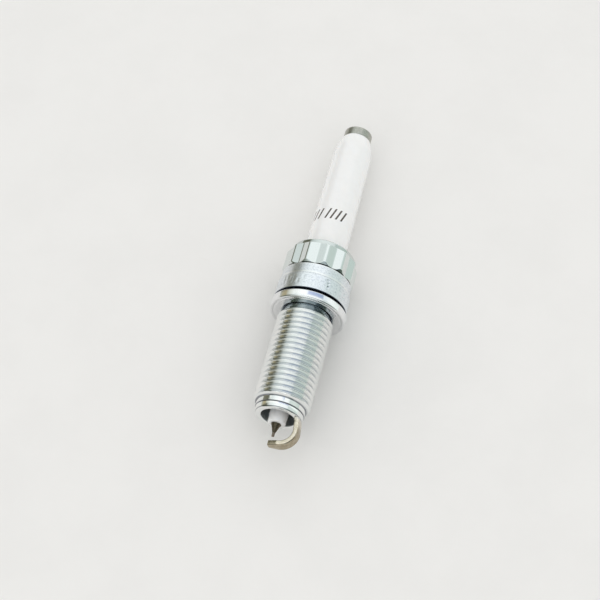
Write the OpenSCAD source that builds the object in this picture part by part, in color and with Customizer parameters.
// Long-reach spark plug, M12 x 1.25 thread, 14 mm bi-hex, lying with its axis
// along Y: the terminal points to +Y and the firing end to -Y. The origin is the
// centre of the seat plane, where the body meets the gasket. Millimetres.
// Profiles are drawn as [radius, distance along the plug], then laid along Y.

/* [Thread] */
// Major diameter of the thread
thread_d = 12; // [11.9:0.05:12]
// Pitch of the thread
thread_pitch = 1.25; // [1.25]
// Number of thread crests
thread_crests = 17; // [12:1:17]
// Distance from the seat plane to the shell's end face
reach = 26.9; // [26.5:0.1:27]
// Distance from the seat plane to the first crest's middle
first_crest = 4.04; // [3.9:0.02:4.2]
// Diameter of the relief neck and of the plain lead-in
neck_d = 10.3; // [10.2:0.1:10.4]

/* [Body] */
// Diameter of the round collar behind the seat
collar_d = 15.8; // [15.6:0.1:16.2]
// Length of the collar from the seat plane
collar_len = 3.7; // [3.5:0.05:4.4]
// Diameter of the step behind the collar
step_d = 15.2; // [14.8:0.1:15.4]
// Diameter of the heat-crimp groove between collar and hexagon
groove_d = 13.8; // [13.5:0.1:13.9]
// Width across the flats of the twelve-point hexagon
hex_af = 13.8; // [13.7:0.1:14]
// Turned diameter over the points of the hexagon
hex_points_d = 15.7; // [15.3:0.1:15.8]
// Distance from the seat plane to the hexagon's lower edge
hex_start = 6.6; // [6.5:0.05:6.7]
// Distance from the seat plane to the hexagon's upper edge
hex_end = 11.9; // [11.8:0.05:12.0]
// Turn of the hexagon's points about the plug axis
hex_turn = 11; // [0:1:30]

/* [Gasket] */
// Outer diameter of the folded gasket
gasket_d = 16.6; // [16.4:0.1:16.8]
// Thickness of the uncrushed gasket
gasket_t = 1.65; // [1.5:0.05:1.7]
// Distance that the gasket rests off the seat
gasket_gap = 0.8; // [0.1:0.05:0.9]

/* [Insulator] */
// Diameter of the insulator just above the crimp
ins_d = 9.0; // [8.9:0.05:9.05]
// Diameter of the insulator below its top shoulder
ins_top_d = 8.56; // [8.4:0.02:8.9]
// Height of the insulator's top above the seat plane
ins_top = 45.4; // [44:0.1:46]
// Distance that the nose stands out of the shell
nose_out = 1.5; // [1.0:0.1:1.8]
// Diameter of the nose at its tip
nose_d = 3.9; // [3.6:0.1:4.1]

/* [Terminal] */
// Diameter of the terminal
terminal_d = 6.35; // [6.3:0.05:6.4]
// Height of the terminal above the insulator
terminal_h = 2.2; // [1.8:0.1:2.6]

/* [Electrodes] */
// Diameter of the centre electrode
electrode_d = 2.0; // [1.9:0.05:2.1]
// Diameter of the iridium tip
tip_d = 0.6; // [0.5:0.05:0.7]
// Spark gap
spark_gap = 1.05; // [0.9:0.05:1.1]
// Distance from the shell's end to the ground strap's inner face
strap_out = 5.45; // [5.35:0.05:5.55]
// Thickness of the ground strap
strap_t = 1.05; // [0.95:0.05:1.15]
// Width of the ground strap
strap_w = 2.4; // [2.2:0.1:2.6]
// Width of the ground strap at its tapered free end
strap_end_w = 1.4; // [1.2:0.1:2.2]
// Turn of the ground strap about the plug axis, from +X towards +Z
strap_turn = 14; // [0:1:45]

/* [Hidden] */
$fn = 96;

// Thread form: 60 degree flanks, crest flat of P/8
thread_r = thread_d / 2;
thread_depth = 0.54127 * thread_pitch;
root_r = thread_r - thread_depth;
crest_half = thread_pitch / 16;
root_half = thread_pitch / 2 - crest_half - thread_depth * tan(30);
neck_r = neck_d / 2;
last_crest = -first_crest - (thread_crests - 1) * thread_pitch;

// Bores of the shell
nose_bore_r = 3.6;
ledge_r = 3.1;
mid_bore_r = 3.95;
head_bore_r = 5.75;
ledge_z = -11.6;

// Insulator
ins_r = ins_d / 2;
ins_top_r = ins_top_d / 2;
nose_tip_z = -reach - nose_out;
front_bore_r = electrode_d / 2 + 0.04;
rear_bore_r = 1.95;
electrode_seat_z = -6.6;

// Firing end
pad_t = 0.15;
strap_in_z = -reach - strap_out;
tip_end_z = strap_in_z + pad_t + spark_gap;
tip_start_z = tip_end_z + 1.15;

// Seal stack inside the insulator
seal_lo_z = -4.6;
resistor_lo_z = -2.0;
resistor_hi_z = 6.2;
seal_hi_z = 8.4;

// Lays a shape built along Z with its axis on Y, +Z of the shape to +Y
module along_y() { rotate([-90, 0, 0]) children(); }

// A solid of revolution from [radius, station] points
module turned(points) { along_y() rotate_extrude() polygon(points); }

// One crest of the thread, from its lower flank's foot to its upper flank's foot
function crest(z) = [[root_r, z - thread_pitch / 2 + root_half],
                     [thread_r, z - crest_half],
                     [thread_r, z + crest_half],
                     [root_r, z + thread_pitch / 2 - root_half]];
// All crests but the two end ones, which run out to the plain diameter
function middle_crests() = [for (k = [1 : thread_crests - 2])
                            for (p = crest(last_crest + k * thread_pitch)) p];
function arc(cx, cy, r, a0, a1, n) = [for (i = [0 : n])
        let (a = a0 + (a1 - a0) * i / n) [cx + r * cos(a), cy + r * sin(a)]];

// Outside of the shell without the hexagon's points, up to the crimped lip
function shell_outline() = concat(
    [[nose_bore_r + 0.15, -reach], [4.72, -reach], [4.8, -reach + 0.08],
     [neck_r - 0.12, -reach + 1.15], [neck_r - 0.12, -reach + 1.25],
     [neck_r, -reach + 1.33], [neck_r, last_crest - 0.55]],
    [[thread_r, last_crest - crest_half], [thread_r, last_crest + crest_half],
     [root_r, last_crest + thread_pitch / 2 - root_half]],
    middle_crests(),
    [[root_r, -first_crest - thread_pitch / 2 + root_half],
     [thread_r, -first_crest - crest_half], [thread_r, -first_crest + crest_half],
     [neck_r, -first_crest + 0.62]],
    [[neck_r, -0.35], [neck_r + 0.1, -0.1], [neck_r + 0.35, 0]],
    [[collar_d / 2 - 0.2, 0], [collar_d / 2, 0.2],
     [collar_d / 2, collar_len - 0.15], [collar_d / 2 - 0.15, collar_len]],
    [[step_d / 2, collar_len + 0.1], [step_d / 2, hex_start - 0.37],
     [step_d / 2 - 0.12, hex_start - 0.25],
     [groove_d / 2, hex_start - 0.22], [groove_d / 2, hex_start + 0.3]],
    [[6.85, hex_start + 0.6], [6.85, hex_end - 0.3]]);

// Crimped lip above the hexagon and the stepped bore back down to the nose
function lip() = concat(
    [[6.85, hex_end - 0.05], [6.95, hex_end + 0.05]],
    arc(6.35, hex_end + 0.65, 0.6, 0, 90, 8),
    [[4.95, hex_end + 1.2], [4.75, hex_end + 1.05], [4.72, hex_end + 0.8],
     [5.1, hex_end + 0.55], [5.5, hex_end + 0.4], [head_bore_r, hex_end + 0.1]]);
function shell_bores() = [[head_bore_r, 3.5], [mid_bore_r, 1.9],
    [mid_bore_r, ledge_z + 1.3], [ledge_r, ledge_z + 0.5], [ledge_r, ledge_z - 1.0],
    [nose_bore_r, ledge_z - 1.6], [nose_bore_r, -reach + 0.15]];

module twelve_points() {
    intersection() {
        along_y() translate([0, 0, hex_start - 0.5]) union() {
            rotate([0, 0, hex_turn]) cylinder(h = hex_end - hex_start + 1, d = hex_af / cos(30), $fn = 6);
            rotate([0, 0, hex_turn + 30]) cylinder(h = hex_end - hex_start + 1, d = hex_af / cos(30), $fn = 6);
        }
        turned([[0, hex_start], [7.0, hex_start], [hex_points_d / 2, hex_start + 0.95],
                [hex_points_d / 2, hex_end - 0.45], [7.0, hex_end], [0, hex_end]]);
    }
}

// Steel shell: thread, seat, collar, crimp groove, twelve-point hexagon, lip
module shell() {
    color("silver") union() {
        turned(concat(shell_outline(), lip(), shell_bores()));
        difference() {
            twelve_points();
            turned([[0, hex_start - 1], [6.4, hex_start - 1], [6.4, hex_end + 1], [0, hex_end + 1]]);
        }
    }
}

// Folded gasket: a sheet ring bent over twice, loose on the neck
module gasket() {
    g0 = -gasket_gap - gasket_t;
    g1 = -gasket_gap;
    gr = gasket_d / 2;
    color("gainsboro") turned([
        [6.25, g0], [gr - 0.45, g0], [gr - 0.13, g0 + 0.13], [gr, g0 + 0.45],
        [gr, g1 - 0.45], [gr - 0.13, g1 - 0.13], [gr - 0.45, g1],
        [6.0, g1], [6.0, g1 - 0.45], [gr - 0.75, g1 - 0.45], [gr - 0.6, g1 - 0.62],
        [gr - 0.75, g1 - 0.78], [6.2, g1 - 0.78], [5.85, g1 - 0.62],
        [5.6, g1 - 0.72], [5.6, g0 + 0.32], [5.85, g0 + 0.06]]);
}

// Centre line of the ground strap in its own plane: [distance from the axis,
// distance beyond the shell's end face], for u from 0 at the weld to 1
strap_bend_r = 2.95;
strap_end_x = -0.45;
// Where the free end starts to taper, from the axis
strap_taper_x = 1.5;
function strap_mid(side) = let (
        o = side * strap_t / 2,
        zc = strap_out + strap_t / 2 - strap_bend_r,
        xc = 4.74 - strap_bend_r)
    concat([[4.28 + o, 0], [4.48 + o, 0.8]],
           arc(xc, zc, strap_bend_r + o, -8, 84, 16),
           [[xc + 0.2, strap_out + strap_t / 2 + o], [strap_end_x, strap_out + strap_t / 2 + o]]);
function reversed(v) = [for (i = [len(v) - 1 : -1 : 0]) v[i]];

// Ground strap, welded to the shell's end face and bent over the tip
module ground_electrode() {
    w = strap_w / 2;
    color("tan") rotate([0, -strap_turn, 0]) translate([0, -reach, 0]) mirror([0, 1, 0])
        intersection() {
            translate([0, 0, -w]) linear_extrude(strap_w)
                polygon(concat(strap_mid(1), reversed(strap_mid(-1))));
            rotate([-90, 0, 0]) translate([0, 0, -1]) linear_extrude(strap_out + strap_t + 2)
                polygon([[strap_end_x - 1, -strap_end_w / 2 + 0.3], [strap_end_x, -strap_end_w / 2],
                         [strap_taper_x, -w], [8, -w], [8, w], [strap_taper_x, w],
                         [strap_end_x, strap_end_w / 2], [strap_end_x - 1, strap_end_w / 2 - 0.3]]);
        }
}

// Platinum disc on the strap's inner face, opposite the tip
module ground_pad() {
    color("lightgray") turned([[0, strap_in_z], [0.45, strap_in_z],
                               [0.45, strap_in_z + pad_t], [0, strap_in_z + pad_t]]);
}

// Alumina insulator from the nose to the terminal, with a stepped bore
module insulator() {
    color("white") turned(concat(
        [[front_bore_r, nose_tip_z + 0.1], [front_bore_r + 0.1, nose_tip_z],
         [nose_d / 2 - 0.35, nose_tip_z], [nose_d / 2 - 0.1, nose_tip_z + 0.1],
         [nose_d / 2, nose_tip_z + 0.35],
         [2.62, -15.9], [2.85, ledge_z - 0.6], [2.85, ledge_z + 0.55],
         [mid_bore_r - 0.12, ledge_z + 1.78], [mid_bore_r - 0.12, 2.2],
         [head_bore_r - 0.15, 3.9], [head_bore_r - 0.15, 7.9], [ins_r, 8.9],
         [ins_r, 20], [ins_top_r, ins_top - 5.2]],
        [for (i = [1 : 10]) let (a = 9 * i)
            [3.3 + (ins_top_r - 3.3) * cos(a) , ins_top - 5.2 + 5.0 * pow(i / 10, 0.9)]],
        [[3.1, ins_top], [2.2, ins_top], [rear_bore_r, ins_top - 0.3],
         [rear_bore_r, electrode_seat_z], [front_bore_r, electrode_seat_z - 0.8]]));
}

// Terminal: a low stud head on a long shank that reaches the upper seal
module terminal_stud() {
    t = ins_top + terminal_h;
    r = terminal_d / 2;
    color("dimgray") turned([[0, seal_hi_z + 0.02], [1.5, seal_hi_z + 0.02], [1.72, seal_hi_z + 0.3],
        [1.72, seal_hi_z + 5], [1.5, seal_hi_z + 5.2], [1.5, ins_top - 6],
        [1.85, ins_top - 5.6], [1.85, ins_top - 0.4], [1.85, ins_top + 0.02], [r - 0.12, ins_top + 0.02],
        [r, ins_top + 0.14], [r, t - 0.35], [r - 0.1, t - 0.1], [r - 0.35, t], [0, t]]);
}

module seal_slug(lo, hi) {
    turned([[0, lo], [rear_bore_r - 0.01, lo], [rear_bore_r - 0.01, hi], [0, hi]]);
}
// Copper-glass seals and the carbon resistor between them
module upper_glass_seal() { color("darkgoldenrod") seal_slug(resistor_hi_z + 0.01, seal_hi_z); }
module resistor() { color("darkslategray") seal_slug(resistor_lo_z + 0.01, resistor_hi_z); }
module lower_glass_seal() { color("darkgoldenrod") seal_slug(seal_lo_z + 0.01, resistor_lo_z); }

// Nickel centre electrode with a flanged head, a bore for the copper core,
// and a cone at its firing end
module center_electrode() {
    r = electrode_d / 2;
    color("saddlebrown") turned([[0, nose_tip_z + 1.2], [0.4, nose_tip_z + 1.2], [0.55, nose_tip_z + 1.4],
        [0.55, seal_lo_z], [1.3, seal_lo_z], [1.75, seal_lo_z - 0.4],
        [1.75, electrode_seat_z + 0.1], [r, electrode_seat_z - 0.78], [r, nose_tip_z - 0.05],
        [0.42, tip_start_z - 0.1], [0.42, tip_start_z - 0.35], [0, tip_start_z - 0.35]]);
}

// Copper core inside the centre electrode
module copper_core() {
    color("chocolate") turned([[0, nose_tip_z + 1.24], [0.36, nose_tip_z + 1.24], [0.5, nose_tip_z + 1.44],
                               [0.53, nose_tip_z + 1.7], [0.53, seal_lo_z - 0.02], [0, seal_lo_z - 0.02]]);
}

// Fine iridium wire, welded to the end of the centre electrode
module iridium_tip() {
    color("dimgray") turned([[0, tip_start_z - 0.36], [tip_d / 2, tip_start_z - 0.36],
                             [tip_d / 2, tip_end_z], [0, tip_end_z]]);
}

// Steel washer between the shell's inner ledge and the insulator's shoulder
module front_packing() {
    color("gray") turned([[ledge_r + 0.08, ledge_z + 0.62], [mid_bore_r - 0.06, ledge_z + 1.42],
                          [mid_bore_r - 0.06, ledge_z + 1.74], [ledge_r + 0.08, ledge_z + 0.83]]);
}

// Round-wire rings and the talc between them, under the crimped lip
module packing_ring(z, r) {
    color("gray") along_y() rotate_extrude() translate([head_bore_r - r - 0.03, z]) circle(r = r, $fn = 32);
}
module lower_packing_ring() { packing_ring(8.97, 0.5); }
module upper_packing_ring() { packing_ring(11.48, 0.42); }
module talc_seal() {
    color("beige") turned([[ins_r + 0.03, 9.52], [head_bore_r - 0.03, 9.52],
                           [head_bore_r - 0.03, 11.03], [ins_r + 0.03, 11.03]]);
}

shell();
gasket();
ground_electrode();
ground_pad();
insulator();
terminal_stud();
upper_glass_seal();
resistor();
lower_glass_seal();
center_electrode();
copper_core();
iridium_tip();
front_packing();
lower_packing_ring();
talc_seal();
upper_packing_ring();
